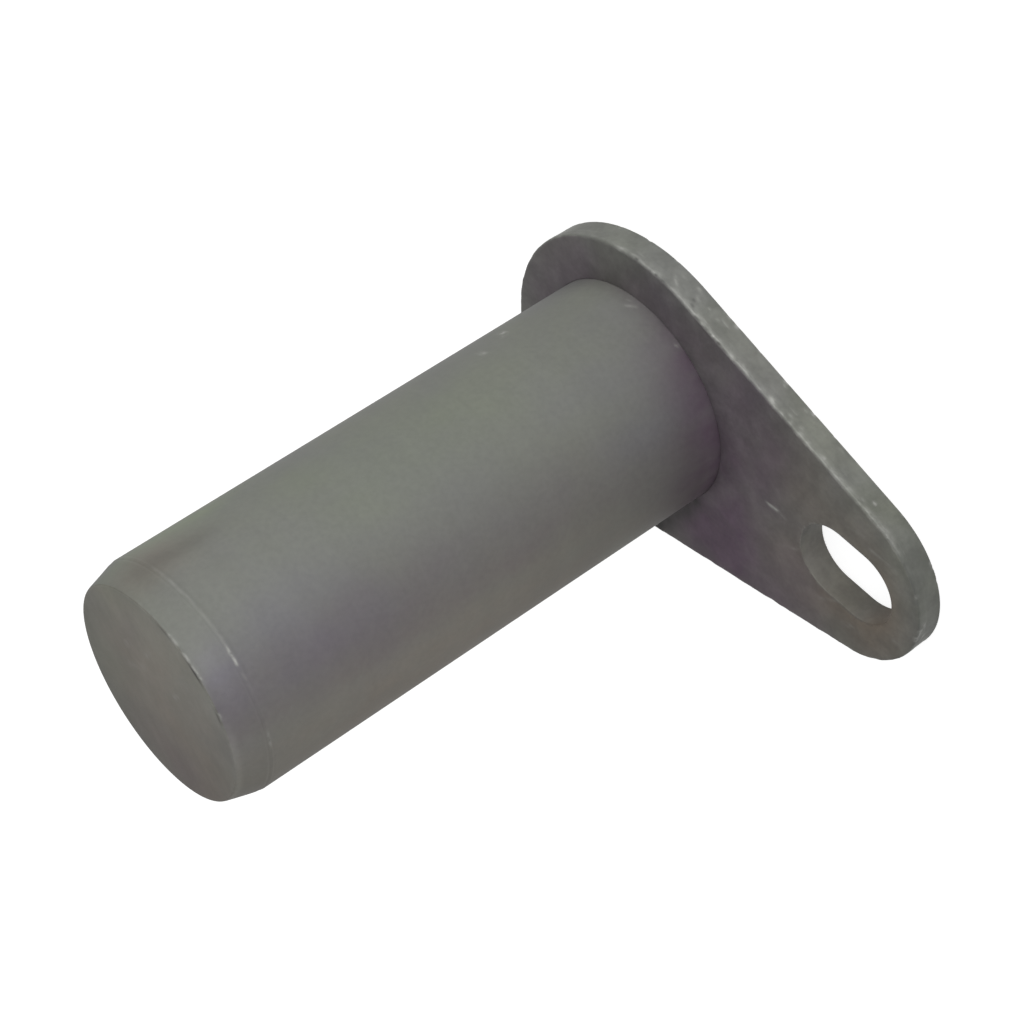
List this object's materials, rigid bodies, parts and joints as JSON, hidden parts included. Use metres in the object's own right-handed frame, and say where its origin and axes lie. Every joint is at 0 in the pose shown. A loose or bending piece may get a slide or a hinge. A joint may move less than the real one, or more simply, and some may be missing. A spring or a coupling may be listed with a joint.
{
  "type": "center pivot pin",
  "caption": "Steel center pivot pin: a plain round shank with a conical lead-in, welded through a teardrop retaining flag whose tongue has a slot for a locking bolt.",
  "frame": {"origin": "on the pin's axis, in the plane of the flag's outer face, on which the pin stands", "axes": "+Z along the pin's axis to its free end, -Y along the flag's tongue"},
  "size_m": [0.07, 0.1135, 0.1245],
  "materials": {
    "shank_steel": "dark oiled phosphate, satin",
    "flag_steel": "dark oiled phosphate, satin",
    "weld_metal": "dark oiled phosphate, rippled"
  },
  "bodies": {
    "root": {"shank": "shank_steel", "flag_plate": "flag_steel", "weld_bead": "weld_metal"}
  },
  "joints": []
}
